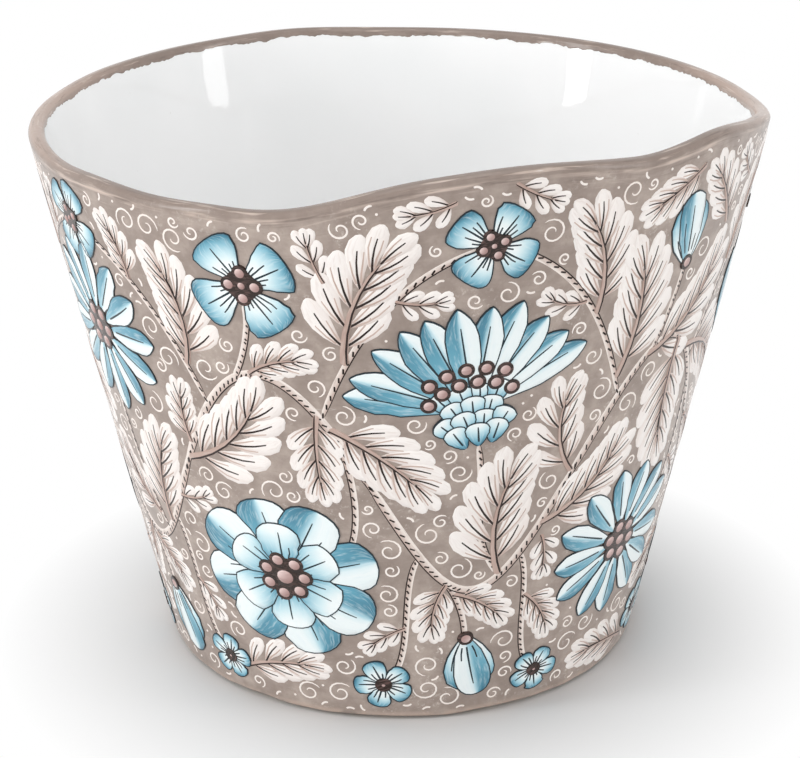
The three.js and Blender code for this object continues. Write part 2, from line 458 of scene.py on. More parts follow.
# The way of the brush: round the pot, and up the profile from the middle of the lip
way_up = way_along(slip_front)
way_up -= way_up[np.argmax(slip_front[:, 1])]
brush_way = np.empty((*slip_radius.shape, 3))
brush_way[..., 0] = LIP_RADIUS * np.cos(ROUND)
brush_way[..., 1] = LIP_RADIUS * np.sin(ROUND)
brush_way[..., 2] = np.concatenate([way_up, way_up[::-1]])[:, None]
set_attribute(slip_coat, "brush_way", "VECTOR", brush_way)

slip_material, tree, shader = new_material("brushed_taupe_slip")
slip_colour, slip_grain = mottled(tree, base="a09188", pale="b8a99f", dark="92837a",
                                  patch_scale=120.0, speck_scale=620.0, speck_share=0.35)
place = object_place(tree)
pale_specks = between(tree, noise(tree, place, 620.0, 3.0, 0.7), 0.55, 0.68, 0.0, 0.65)
worn_patches = between(tree, noise(tree, place, 45.0, 2.0), 0.47, 0.62)
way = add_node(tree, "ShaderNodeAttribute", attribute_name="brush_way").outputs["Vector"]
stretched = add_node(tree, "ShaderNodeVectorMath", {0: way, 1: STREAK_STRETCH}, operation="MULTIPLY")
streaks = noise(tree, stretched.outputs[0], 900.0, 3.0, 0.6)
sideways, _, upwards = add_node(tree, "ShaderNodeSeparateXYZ", {0: way}).outputs
from_lip = sums(tree, "ABSOLUTE", upwards)
near_lip = between(tree, from_lip, 11 * MM, 3 * MM, 0.15, 1.0)
# Painted shade: the slip turns darker towards the top of the lip.
shaded_lip_top = between(tree, from_lip, 6 * MM, 1 * MM, 0.0, 0.9)
thin_ends = between(tree, times(tree, sideways, sideways), *THIN_ENDS, 0.0, 0.8)
thin_lip = times(tree, between(tree, from_lip, 4 * MM, 2 * MM), thin_ends)
pale_streaks = times(tree, between(tree, streaks, 0.58, 0.7, 0.0, 0.75), near_lip)
dark_streaks = times(tree, between(tree, streaks, 0.42, 0.3, 0.0, 0.6), near_lip)
from_line = sums(tree, "ABSOLUTE", sums(tree, "ADD", upwards, 4.4 * MM))
worn_line = times(tree, between(tree, from_line, 0.8 * MM, 0.2 * MM), between(tree, streaks, 0.4, 0.56))
worn_here = between(tree, noise(tree, way, 34.0, 3.0, 0.6), 0.44, 0.56, 0.0, 0.85)
worn_hem = between(tree, upwards, way_up[0] + 2.6 * MM, way_up[0] + 1 * MM, 0.0, 0.8)
hem_patches = between(tree, noise(tree, way, 90.0, 3.0, 0.6), 0.36, 0.52)
dry_edge = sums(tree, "ADD", streaks, between(tree, upwards, 2.6 * MM, 4.4 * MM, 0.0, 0.3))
slip_colour = layered(
    tree, slip_colour,
    (times(tree, pale_specks, worn_patches), "d6cac1"),
    (shaded_lip_top, "7f7067"),
    (thin_lip, "b8a194"),
    (pale_streaks, "cbb9ad"),
    (dark_streaks, "6f6058"),
    (times(tree, worn_line, worn_here), "d3c0b4"),
    (times(tree, worn_hem, hem_patches), "c6b0a2"),
    (between(tree, dry_edge, 0.74, 0.8), "eae6e3"),
)
set_finish(tree, shader, slip_colour, slip_grain, (0.34, 0.48), (0.25, 0.12 * MM), streaks)
set_inputs(tree, shader, CLEAR_GLAZE)
slip_coat.data.materials.append(slip_material)
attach(slip_coat, "pot")
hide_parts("slip_coat")


# Painted flowers: blue and white ceramic colours, laid on the slip before the last firing. Each petal is one
# loaded stroke with lines drawn round it by a liner brush, and the hearts are blobs of pink relief paint.
WALL_TIP = FOOT_RADIUS / SIN_LEAN  # up the slant, from the tip of the wall's cone to the foot
PAINT_SINK = 0.04 * MM  # the rim of a stroke lies this far under the slip's face
LINE_RISE = 0.02 * MM  # a drawn line stands this far over the paint that it is drawn on
LINE_WIDTH = 0.42 * MM
VEIN_WIDTH = 0.78 * MM
OVERLAP = 0.04 * MM  # a stroke stands this far over the one that it overlaps
PETAL_TOP = 0.24 * MM
INNER_PETAL_TOP = 0.38 * MM
HEART_TOP = 0.57 * MM
BEAD_TOP = 0.85 * MM
BEAD_RADIUS = 2.3 * MM
BEAD_GAP = 0.55 * MM  # the dark line round a bead
VINE_WAVES = 5
VINE_MIDDLE = 83 * MM  # this and the heights that follow are measured up the slant of the wall
VINE_SWING = 36 * MM
FIRST_CREST = math.radians(-113)
LOW_HOLLOW = 50 * MM
HIGH_HOLLOW = 119 * MM
OVER_CREST = 147 * MM
UNDER_TROUGH = 20 * MM
GARLAND = 153 * MM
GARLAND_FLOWER = 12.5 * MM
SMALL_FLOWER = 16 * MM
BUD_LENGTH = 24 * MM
BUD_BACK = 10 * MM  # from the middle of its place to its foot
FLORET_ASIDE = 0.3  # radians round the pot
FLORET_UP = (11, 14)  # millimetres, as the next
FLORET_SIZE = (7.5, 9)
CELL = 1 * MM  # of a grid over the wall that notes where paint lies
CELLS_UP = 200
CELLS_ROUND = 640
PAINT_REACH = 1.2 * CELL
PLAIN_AT_LIP = 2.6 * MM
PLAIN_AT_FOOT = 1.6 * MM
UPRIGHT = math.pi / 2  # the heading of a stroke that goes straight up
BROAD = np.array([-1, -0.94, -0.6, -0.28, -0.06, 0.12, 0.34, 0.64, 0.94, 1])  # places across a stroke
THIN = np.array([-1, -0.88, 0.88, 1])
DOME = np.cos(np.arange(4) * math.pi / 8), np.sin(np.arange(4) * math.pi / 8)  # sizes and heights of rings
DISC = np.array([1, 0.92]), np.array([0, 1])
SHARES = (1 - np.cos(np.linspace(0, math.pi, 15))) / 2  # places along a stroke, closer at its ends
PETAL_BLUES = np.array([colour(code) for code in ("f6fcfc", "d4edf3", "a4d0de", "67a8be", "2d6880")])
PETAL_INK = colour("172a33")
HEART_BROWN = colour("2c1c15")
BEAD_PINKS = [colour(code) for code in ("5f3d36", "b08d88", "e6cfcb")]
draw = np.random.default_rng(7)

wall_up, wall_turn = np.meshgrid((np.arange(CELLS_UP) + 0.5) * CELL,
                                 (np.arange(CELLS_ROUND) + 0.5) * 2 * math.pi / CELLS_ROUND, indexing="ij")
lip_slant = (LIP_HEIGHT + lip_rise(wall_turn)) / COS_LEAN
covered = (wall_up < PLAIN_AT_FOOT) | (wall_up > lip_slant - PLAIN_AT_LIP)


def bell(shares, rise, fall):
    """Widths of a stroke that swells from a point and closes again, 1 at the widest."""
    widths = shares**rise * (1 - shares**4) ** fall
    return widths / widths.max()


def unsteady(widths):
    """The same widths as a hand gives them."""
    return widths * (1 + 0.035 * draw.standard_normal(len(widths)))


def curve(start, length, heading, bend, shares=SHARES):
    """Points along an arc that sets out at an angle and turns by "bend" in all."""
    bend = bend if abs(bend) > 1e-4 else 1e-4
    turn = heading + bend * shares
    right = (np.sin(turn) - math.sin(heading)) * length / bend
    above = (math.cos(heading) - np.cos(turn)) * length / bend
    return np.asarray(start) + np.column_stack([right, above])


def polar(distance, heading):
    return distance * np.array([math.cos(heading), math.sin(heading)])


def beside(line, offset):
    """Points to the right of a line's own points, or to the left where the offset is negative."""
    ahead = np.gradient(line, axis=0)
    ahead /= np.linalg.norm(ahead, axis=1)[:, None]
    return line + np.column_stack([ahead[:, 1], -ahead[:, 0]]) * np.reshape(offset, (-1, 1))


def to_wall(spot, flat):
    """Angle and way up the wall of points drawn flat round a spot: x to the right, y up, turned with it."""
    theta, up, turn = spot
    right = flat[:, 0] * math.cos(turn) - flat[:, 1] * math.sin(turn)
    above = WALL_TIP + up + flat[:, 0] * math.sin(turn) + flat[:, 1] * math.cos(turn)
    return theta + np.arctan2(right, above) / SIN_LEAN, np.hypot(right, above) - WALL_TIP


@functools.cache
def steps_within(reach):
    """Steps to the right and up, a cell apart, that stay within "reach"."""
    steps = np.arange(-math.ceil(reach / CELL), math.ceil(reach / CELL) + 1) * CELL
    right, above = np.meshgrid(steps, steps)
    near = np.hypot(right, above) <= reach
    return right[near], above[near]


def cells_near(theta, up, reach):
    """Rows and columns of the wall's cells that lie within "reach" of some points."""
    right, above = steps_within(reach)
    turn = theta[:, None] + right / (FOOT_RADIUS + SIN_LEAN * up[:, None])
    row = np.floor((up[:, None] + above) / CELL).astype(int)
    column = np.floor(turn / (2 * math.pi) * CELLS_ROUND).astype(int)
    return np.clip(row, 0, CELLS_UP - 1), column % CELLS_ROUND


def share_covered(spot, flat, reach):
    return covered[cells_near(*to_wall(spot, flat), reach)].mean()


@functools.cache
def capped_rings(rows, columns):
    """Corners of a closed form: rings of points, each joined to the next, then a point to close each end."""
    at = np.arange(rows * columns).reshape(rows, columns)
    next_one = np.roll(at, -1, 1)
    quads = np.stack([at[:-1], next_one[:-1], next_one[1:], at[1:]], -1).reshape(-1, 4)
    first = np.stack([next_one[0], at[0], np.full(columns, rows * columns)], -1)
    last = np.stack([at[-1], next_one[-1], np.full(columns, rows * columns + 1)], -1)
    return quads, np.vstack([first, last])


class Paint:
    """Strokes and blobs of one kind of paint, each a closed low relief on the wall. All make one piece."""

    def __init__(self):
        self.places, self.tints, self.marks, self.quads, self.triangles = [], [], [], [], []
        self.count = 0

    def add(self, spot, flat, lift, tint, along, over, faces):
        theta, up = to_wall(spot, flat)
        covered[cells_near(theta, up, PAINT_REACH)] = True
        self.places.append(np.column_stack([theta, up, lift]))
        self.tints.append(tint)
        self.marks.append(np.column_stack([along, over, np.full(len(flat), draw.random())]))
        self.quads.append(faces[0] + self.count)
        self.triangles.append(faces[1] + self.count)
        self.count += len(flat)

    def stroke(self, spot, line, half, top, tint, across=BROAD):
        """A stroke along a line, "half" wide to either side at each of its points."""
        run = way_along(line)
        body = np.stack([beside(line, half * side) for side in across], axis=1)[1:-1]
        flat = np.vstack([body.reshape(-1, 2), line[[0, -1]]])
        along = np.append(np.repeat(run[1:-1], len(across)), run[[0, -1]])
        over = np.append(np.tile(across, len(line) - 2), [0, 0])
        lift = np.where(np.abs(over) == 1, -PAINT_SINK, top)
        lift[-2:] = -PAINT_SINK
        shades = tint(along / run[-1], over) if callable(tint) else np.tile(tint, (len(flat), 1))
        self.add(spot, flat, lift, shades, along, over * half.max(), capped_rings(*body.shape[:2]))

    def line(self, spot, line, width, top, tint, taper=0.0):
        """A thin line as a liner brush draws it: it swells and dies out, and may taper to its end."""
        share = np.linspace(0, 1, len(line))
        half = width / 2 * np.minimum(1, 0.35 + 4 * share * (1 - share)) * (1 - taper * share)
        self.stroke(spot, line, half, top, tint, THIN)

    def bead(self, spot, centre, radius, top, tint, shape=DOME, sides=14):
        """A blob whose rings climb from its foot to its crown, "shape" giving their sizes and heights."""
        turn = np.linspace(0, 2 * math.pi, sides, endpoint=False)
        ring = np.column_stack([np.cos(turn), np.sin(turn)])
        from_middle = np.vstack([(shape[0][:, None, None] * ring).reshape(-1, 2), np.zeros((2, 2))])
        lift = np.append(np.repeat(shape[1], sides), [0, 1]) * (top + PAINT_SINK) - PAINT_SINK
        shades = tint(*from_middle.T) if callable(tint) else np.tile(tint, (len(lift), 1))
        flat = np.asarray(centre) + radius * from_middle
        self.add(spot, flat, lift, shades, flat[:, 0], flat[:, 1], capped_rings(len(shape[0]), sides))

    def piece(self, name, material):
        theta, up, lift = np.vstack(self.places).T
        radius = FOOT_RADIUS + up * SIN_LEAN + wall_dent(theta, up * COS_LEAN) + lift * COS_LEAN
        height = SHELF_GAP + up * COS_LEAN - lift * SIN_LEAN
        points = np.column_stack([radius * np.cos(theta), radius * np.sin(theta), height])
        faces = np.vstack(self.quads).tolist() + np.vstack(self.triangles).tolist()
        made = smooth_piece(name, points, faces)
        set_attribute(made, "paint", "COLOR", np.column_stack([np.vstack(self.tints), np.ones(self.count)]))
        set_attribute(made, "stroke", "VECTOR", np.vstack(self.marks))
        made.data.materials.append(material)
        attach(made, "pot")


# Brush marks group: the streaks that a brush leaves along a stroke, thin where the paint was drawn out
brush_marks, given, results = new_group(
    "brush_marks",
    {"Paint": "Color", "Stroke": "Vector", "Thin Paint": "Color", "Streak Share": "Float"},
    {"Colour": "Color", "Height": "Float"},
)
along, over, own_number = add_node(brush_marks, "ShaderNodeSeparateXYZ", {0: given["Stroke"]}).outputs
drawn_out = add_node(brush_marks, "ShaderNodeCombineXYZ", {
    0: times(brush_marks, along, 0.18),
    1: over,
    2: times(brush_marks, own_number, 9.0),
}).outputs[0]
hairs = noise(brush_marks, drawn_out, 1300.0, 2.0, 0.6)
pools = noise(brush_marks, drawn_out, 240.0, 1.0)
worn = times(brush_marks, between(brush_marks, hairs, 0.5, 0.72), given["Streak Share"])
deeper = between(brush_marks, pools, 0.45, 0.75, 0.0, 0.3)
shaded = mixed(brush_marks, deeper, given["Paint"], given["Paint"], "MULTIPLY")
brush_marks.links.new(mixed(brush_marks, worn, shaded, given["Thin Paint"]), results["Colour"])
brush_marks.links.new(hairs, results["Height"])


def paint_finish(name, thin_paint, streak_share, roughness):
    """A fired ceramic paint that takes its colour from the strokes."""
    material, tree, shader = new_material(name)
    group = add_node(tree, "ShaderNodeGroup", node_tree=brush_marks)
    set_inputs(tree, group, {
        "Paint": add_node(tree, "ShaderNodeAttribute", attribute_name="paint").outputs["Color"],
        "Stroke": add_node(tree, "ShaderNodeAttribute", attribute_name="stroke").outputs["Vector"],
        "Thin Paint": rgba(thin_paint),
        "Streak Share": streak_share,
    })
    set_finish(tree, shader, group.outputs["Colour"], group.outputs["Height"], roughness, (0.25, 0.06 * MM))
    set_inputs(tree, shader, CLEAR_GLAZE)
    return material


petal_paint, petal_lines, flower_hearts = Paint(), Paint(), Paint()
ROUND_PETAL = bell(SHARES, 0.62, 0.5)
SLIM_PETAL = bell(SHARES, 0.7, 0.8)
HEART_PETAL = bell(SHARES, 0.85, 0.4)


def blues(depth):
    """White at 0, and the deepest blue at 1."""
    steps = np.linspace(0, 1, len(PETAL_BLUES))
    return np.column_stack([np.interp(depth, steps, PETAL_BLUES[:, i]) for i in range(3)])


def half_blue(along, over):
    """One side of the brush was loaded with blue and the other with white."""
    return blues(np.clip(0.34 - 1.7 * over, 0.03, 0.52 + 0.42 * along))


def blue_tip(along, over):
    return blues(np.clip(1.25 * along**1.6 - 0.35 * (1 - over**2) + 0.12 * over, 0, 0.95))


def blue_heart(along, over):
    return blues(np.clip(0.95 - 1.15 * along + 0.25 * over**2, 0, 1))


def blend(first, second, shares):
    """Colours between two others, one for each share of the second."""
    return first + (second - first) * shares[:, None]


def bead_pink(right, above):
    """Pink that is pale where the light falls, and brown round the foot of the bead."""
    brown, pink, pale = BEAD_PINKS
    lit = np.clip(0.55 - 0.45 * right + 0.5 * above, 0, 1)
    rim = np.clip((np.hypot(right, above) - 0.72) / 0.28, 0, 1)
    return blend(blend(pink, pale, lit**2), brown, rim)


def petal(spot, base, length, heading, half, top, tint, shape=ROUND_PETAL, bend=0.0, veins=(-0.5, 0.5)):
    """One painted petal, its outline, a strong line up its middle, and shorter veins beside that."""
    length *= draw.uniform(0.95, 1.04)
    line = curve(base, length, heading + draw.uniform(-0.05, 0.05), bend + draw.uniform(-0.1, 0.1))
    width = unsteady(half * shape)
    petal_paint.stroke(spot, line, width, top, tint)
    rim = np.vstack([beside(line, -0.97 * width), beside(line, 0.97 * width)[-2::-1]])
    petal_lines.line(spot, rim, LINE_WIDTH, top + LINE_RISE, PETAL_INK)
    middle = beside(line, draw.uniform(-0.12, 0.12) * width)
    petal_lines.line(spot, middle[3:12], VEIN_WIDTH, top + LINE_RISE, PETAL_INK, taper=0.5)
    for side in veins:
        vein = beside(line, side * width)[3:draw.integers(8, 11)]
        petal_lines.line(spot, vein, 0.85 * VEIN_WIDTH, top + LINE_RISE, PETAL_INK, taper=0.4)


def outlined_bead(spot, centre, radius, top=BEAD_TOP):
    """A pink bead inside a dark line."""
    flower_hearts.bead(spot, centre, radius + BEAD_GAP, HEART_TOP, HEART_BROWN, DISC, sides=20)
    flower_hearts.bead(spot, centre, radius, top, bead_pink)


def heart(spot, count, ring, bead=BEAD_RADIUS):
    """A dark disc with a ring of beads and one in the middle."""
    flower_hearts.bead(spot, (0, 0), ring + 0.6 * bead, HEART_TOP, HEART_BROWN, DISC, sides=24)
    for i in range(count):
        outlined_bead(spot, polar(ring, 2 * math.pi * i / count), bead)
    flower_hearts.bead(spot, (0, 0), ring - bead - BEAD_GAP, BEAD_TOP * 1.1, bead_pink)


def petal_ring(spot, count, first, start, length, half, top, tint, **look):
    for i in range(count):
        heading = first + 2 * math.pi * i / count
        layer = 2 if i == count - 1 and count % 2 else i % 2
        petal(spot, polar(start, heading), length, heading, half, top + OVERLAP * layer, tint, **look)


def rosette(spot, size):
    petal_ring(spot, 8, 0.2, 0.1 * size, 0.9 * size, 0.33 * size, PETAL_TOP, half_blue)
    petal_ring(spot, 6, 0.5, 0.08 * size, 0.58 * size, 0.25 * size, INNER_PETAL_TOP, blue_heart)
    heart(spot, 7, 6.0 * MM)


def daisy(spot, size):
    petal_ring(spot, 13, 0.1, 0.2 * size, 0.8 * size, 0.16 * size, PETAL_TOP, half_blue,
               shape=SLIM_PETAL, veins=())
    heart(spot, 6, 5.1 * MM)


def quatrefoil(spot, size):
    petal_ring(spot, 4, 0.6, 0.06 * size, 0.94 * size, 0.48 * size, PETAL_TOP, blue_tip,
               shape=HEART_PETAL, veins=(-0.6, -0.3, 0.3, 0.6))
    heart(spot, 4, 0.24 * size, 0.12 * size)


def tulip(spot, size):
    """Seen from the side: back petals, two that bow outwards, one in front, and stamens between."""
    for side in (-1, 0, 1):
        root = (side * 0.1 * size, 0.6 * size)
        length = (0.42 + 0.1 * abs(side)) * size
        stamen = curve(root, length, UPRIGHT - side * 0.12, -side * 0.4)
        petal_lines.line(spot, stamen, VEIN_WIDTH, LINE_RISE, PETAL_BLUES[1])
        outlined_bead(spot, stamen[-1], 0.75 * BEAD_RADIUS, 0.8 * BEAD_TOP)
    for side in (-1, 1):
        petal(spot, (0, 0.1 * size), 0.86 * size, UPRIGHT - side * 0.24, 0.19 * size, PETAL_TOP, blue_tip)
    for side in (-1, 1):
        petal(spot, (0, 0), size, UPRIGHT - side * 0.85, 0.2 * size, PETAL_TOP + 2 * OVERLAP, half_blue,
              SLIM_PETAL, side * 0.5)
    petal(spot, (0, 0), 0.84 * size, UPRIGHT, 0.25 * size, INNER_PETAL_TOP, blue_heart)


def cornflower(spot, size):
    """Seen from the side: a fan of slim petals out of a scaly cup."""
    fan = np.linspace(-1.15, 1.15, 11)
    for i in sorted(range(11), key=lambda at: -abs(fan[at])):
        top = PETAL_TOP + OVERLAP * (5 - abs(i - 5))
        petal(spot, (0.05 * size * fan[i], 0.3 * size), 0.7 * size, UPRIGHT - fan[i], 0.1 * size, top,
              half_blue, SLIM_PETAL, -0.25 * fan[i], veins=())
    for row in range(4):
        for i in range(4 - row % 2):
            across = (i - (3 - row % 2) / 2) * 0.1 * size
            base = (0.75 * across, (0.3 - 0.09 * row) * size)
            heading = UPRIGHT - 4 * across / size
            top = PETAL_TOP + OVERLAP * (6 + 2 * row + i % 2)
            petal(spot, base, 0.17 * size, heading, 0.075 * size, top, blue_heart, veins=())
    for row, count in enumerate((6, 5)):
        for i in range(count):
            turn = UPRIGHT + (0.32 - 0.05 * row) * (i - (count - 1) / 2)
            centre = polar(0.34 * size + 4.2 * MM * row, turn) + (0, 0.14 * size)
            outlined_bead(spot, centre, 0.85 * BEAD_RADIUS)


def floret(spot, size):
    petal_ring(spot, 5, 0.4, 0.08 * size, 0.92 * size, 0.4 * size, PETAL_TOP, blue_tip)
    outlined_bead(spot, (0, 0), 0.24 * size, 0.7 * BEAD_TOP)


def bud(spot, size):
    for side in (-1, 1):
        petal(spot, (0, 0), 0.9 * size, UPRIGHT - side * 0.42, 0.2 * size, PETAL_TOP, blue_tip,
              SLIM_PETAL, side * 0.5)
    petal(spot, (0, 0), size, UPRIGHT, 0.24 * size, PETAL_TOP + 2 * OVERLAP, half_blue)
    outlined_bead(spot, (0, 0.04 * size), 0.85 * BEAD_RADIUS)


FLOWER_SIZES = {rosette: 28 * MM, daisy: 27 * MM, tulip: 42 * MM, cornflower: 47 * MM}
LARGE_FLOWERS = (rosette, cornflower, daisy, tulip, rosette, cornflower, daisy, rosette, tulip, daisy)
flower_spots, small_spots, garland_spots, floret_spots = [], [], [], []
for k, kind in enumerate(LARGE_FLOWERS):
    size = FLOWER_SIZES[kind]
    arched = k % 2 == 0  # the vine arches over this flower, or dips under it
    middle = FIRST_CREST + k * math.pi / VINE_WAVES
    rise = float(lip_rise(middle))
    drop = 0.48 * size if kind in (tulip, cornflower) else 0
    spot = (middle, (LOW_HOLLOW if arched else HIGH_HOLLOW) - drop, draw.uniform(-0.25, 0.25))
    flower_spots.append(spot)
    kind(spot, size)
    small = (middle, OVER_CREST + 0.4 * rise, 0) if arched else (middle, UNDER_TROUGH, 0)
    small_spots.append(small)
    garland_spots.append((middle, GARLAND + 0.6 * rise, 0.4))
    if not arched:
        quatrefoil(garland_spots[k], GARLAND_FLOWER)
        for side in (-1, 1):
            up = draw.uniform(*FLORET_UP) * MM
            floret_spots.append((middle + FLORET_ASIDE * side, up, draw.uniform(0, 1)))
            floret(floret_spots[-1], draw.uniform(*FLORET_SIZE) * MM)
    if k % 4 in (0, 3):
        quatrefoil(small, SMALL_FLOWER)
    elif arched:
        bud((small[0], small[1] - BUD_BACK, draw.uniform(-0.3, 0.3)), BUD_LENGTH)
    else:
        bud((small[0], small[1] + BUD_BACK, math.pi + draw.uniform(-0.3, 0.3)), BUD_LENGTH)

petal_paint.piece("painted_petals", paint_finish(
    "blue_and_white_paint", thin_paint="e4f2f6", streak_share=0.4, roughness=(0.3, 0.42)))
petal_lines.piece("petal_outlines", paint_finish(
    "dark_liner_paint", thin_paint="36505b", streak_share=0.2, roughness=(0.35, 0.5)))
flower_hearts.piece("flower_beads", paint_finish(
    "pink_relief_paint", thin_paint="93706b", streak_share=0.35, roughness=(0.22, 0.34)))
flower_cells = covered.copy()


# Painted vine: a pinkish cream stem that waves round the pot, with branches to the flowers and along the lip
# and the foot. A round brush draws it, and a liner brush adds a dark edge and ticks.
STEM_WIDTH = 2.6 * MM
BRANCH_WIDTH = 1.8 * MM
STEM_TOP = 0.03 * MM
STEM_WAVER = 1.5 * MM
TICK_EVERY = 2.1 * MM
TICK_WIDTH = 0.6 * MM
UNDER_FLOWER = 2.5 * MM  # a branch runs on this far under its flower
SHORT_OF_SMALL = 8 * MM  # from the middle of a small flower to where its branch is aimed
STEM_PINKS = [colour(code) for code in ("c6aea3", "f3e9e2")]
STEM_INK = colour("26150e")
stem_paint, stem_lines = Paint(), Paint()
stem_runs = []


def vine_up(theta):
    wave = np.cos(VINE_WAVES * (theta - FIRST_CREST))
    return VINE_MIDDLE + VINE_SWING * wave + uneven(theta, STEM_WAVER, 2, 7, seed=31)


def from_wall(spot, theta, up):
    """Flat places round a spot that isn't turned, of points on the wall: to_wall undone."""
    turn = (theta - spot[0]) * SIN_LEAN
    from_tip = WALL_TIP + up
    return np.column_stack([from_tip * np.sin(turn), from_tip * np.cos(turn) - WALL_TIP - spot[1]])


def bow(start, start_heading, end, end_heading, pull, count=26):
    """A smooth line between two points that leaves the first and meets the last at a given angle."""
    share = np.linspace(0, 1, count)[:, None]
    ahead, behind = start + polar(pull, start_heading), end - polar(pull, end_heading)
    near = (1 - share) ** 3 * start + 3 * (1 - share) ** 2 * share * ahead
    return near + 3 * (1 - share) * share**2 * behind + share**3 * end


def stem_pink(along, over):
    return blend(*STEM_PINKS, np.clip(0.6 - 0.6 * over, 0, 1))


def stem(spot, line, width):
    share = np.linspace(0, 1, len(line))
    half = width / 2 * np.minimum(1, 0.55 + 6 * share * (1 - share))
    stem_paint.stroke(spot, line, half, STEM_TOP, stem_pink)
    shaded, pale = beside(line, half), beside(line, -0.5 * half)
    stem_lines.line(spot, shaded, LINE_WIDTH, STEM_TOP + LINE_RISE, STEM_INK)
    run = way_along(line)[1:]
    for i in np.searchsorted(run, np.arange(TICK_EVERY, run[-1] - TICK_EVERY, TICK_EVERY)):
        tick = np.linspace(shaded[i], pale[i + 1], 4)
        stem_lines.line(spot, tick, TICK_WIDTH, STEM_TOP + LINE_RISE, STEM_INK)
    stem_runs.append((spot, line))


def branch(theta, start_heading, spot, end_heading, pull):
    """A thinner stem from a place on the vine to a spot."""
    spot = (spot[0], spot[1], 0)
    at = np.array([theta])
    start = from_wall(spot, at, vine_up(at))[0]
    end_heading = math.radians(end_heading)
    end = polar(UNDER_FLOWER, end_heading)
    stem(spot, bow(start, math.radians(start_heading), end, end_heading, pull), BRANCH_WIDTH)


for k in range(2 * VINE_WAVES):
    middle = FIRST_CREST + k * math.pi / VINE_WAVES
    reach = np.linspace(-0.54, 0.54, 44) * math.pi / VINE_WAVES
    spot = (middle, VINE_MIDDLE, 0)
    stem(spot, from_wall(spot, middle + reach, vine_up(middle + reach)), STEM_WIDTH)
    small = small_spots[k]
    lean = math.degrees(flower_spots[k][2])
    if k % 2 == 0:
        branch(middle + 0.22, -75, flower_spots[k], 165, 26 * MM)
        branch(middle - 0.07, 60, (small[0], small[1] - SHORT_OF_SMALL), 100, 7 * MM)
        continue
    branch(middle + 0.1, 120, flower_spots[k], 90 + lean, 22 * MM)
    branch(middle - 0.09, -50, (small[0], small[1] + SHORT_OF_SMALL), -95, 8 * MM)
    for side, low_spot in zip((-1, 1), floret_spots[k - 1:k + 1]):
        branch(middle + 0.45 * side, 90 + 15 * side, garland_spots[k], 90 + 80 * side, 27 * MM)
        branch(middle + 0.17 * side, -90 + 30 * side, low_spot, -90 + 75 * side, 14 * MM)

stem_paint.piece("vine_stems", paint_finish(
    "pinkish_cream_paint", thin_paint="b39c91", streak_share=0.45, roughness=(0.34, 0.46)))
stem_lines.piece("stem_ticks", paint_finish(
    "brown_liner_paint", thin_paint="4d3f3b", streak_share=0.2, roughness=(0.35, 0.5)))


# Painted leaves: fronds of white leaflets along the stems and sprigs between them, each leaflet one press of
# a pointed brush that was loaded with white and tipped in pink. Dark ribs and veins are drawn in last.
LEAF_TOP = 0.07 * MM
LEAF_STEP = 0.03 * MM
LEAF_MARGIN = 1 * MM  # from a leaflet to the plain edges of the wall
FLOWER_MARGIN = 2 * MM  # from a flower to where a frond leaves the stem
FROND_LENGTHS = ((44, 38), (34, 29), (25, 21), (18, 15))  # millimetres, in the order in which they are tried
FROND_LEANS = (0.8, 0.5, 1.15)
SPRIG_LENGTHS = (30, 25, 20, 16)
SPRIG_SPACING = 4.5 * MM
RIB_CROWDING = 0.15  # the most of the ground under a rib that may be painted already
BLADE_CROWDING = 0.12
SIDE_VEIN_REACH = 8 * MM  # a longer leaflet also gets a pink vein on either side
LEAF_TINTS = [colour(code) for code in ("c0a69b", "faf4f0")]
VEIN_PINK = colour("cdb6ab")
LEAF_SHARES = (1 - np.cos(np.linspace(0, math.pi, 9))) / 2
LEAF_ACROSS = np.array([-1, -0.86, -0.3, 0.3, 0.86, 1])
LEAFLET = bell(LEAF_SHARES, 0.8, 0.75)
RIB_WIDTHS = 1.1 - 0.8 * LEAF_SHARES
leaf_paint, leaf_lines = Paint(), Paint()


def leaf_white(along, over):
    """White, with the pink of the brush's tip at the foot and along one side."""
    pink = np.clip(0.8 - 2.2 * along, 0, 1) + 0.5 * np.clip(over, 0, 1) * (1 - 0.8 * along)
    return blend(LEAF_TINTS[1], LEAF_TINTS[0], np.clip(pink, 0, 1))


def rib_line(length, bend, shares=LEAF_SHARES):
    return curve((0, 0), 0.78 * length, UPRIGHT, bend, shares)


def frond_leaflets(length, bend):
    """Middle lines of the leaflets of a frond that stands upright on its spot, from the foot to the tip."""
    leaflets = []
    for at in np.linspace(0.18, 0.9, round(2 + length / (14 * MM))):
        start = rib_line(length, bend, np.array([at]))[0]
        reach = 1 * MM + length * (0.2 + 0.2 * math.sin(math.pi * (0.25 + 0.6 * at)))
        for side in (-1, 1):
            heading = UPRIGHT + bend * at - side * (1.0 - 0.4 * at)
            leaflets.append(curve(start, reach, heading, side * 0.55, LEAF_SHARES))
    tip = rib_line(length, bend)[-1]
    return leaflets + [curve(tip, 0.3 * length, UPRIGHT + bend, 0.5 * bend, LEAF_SHARES)]


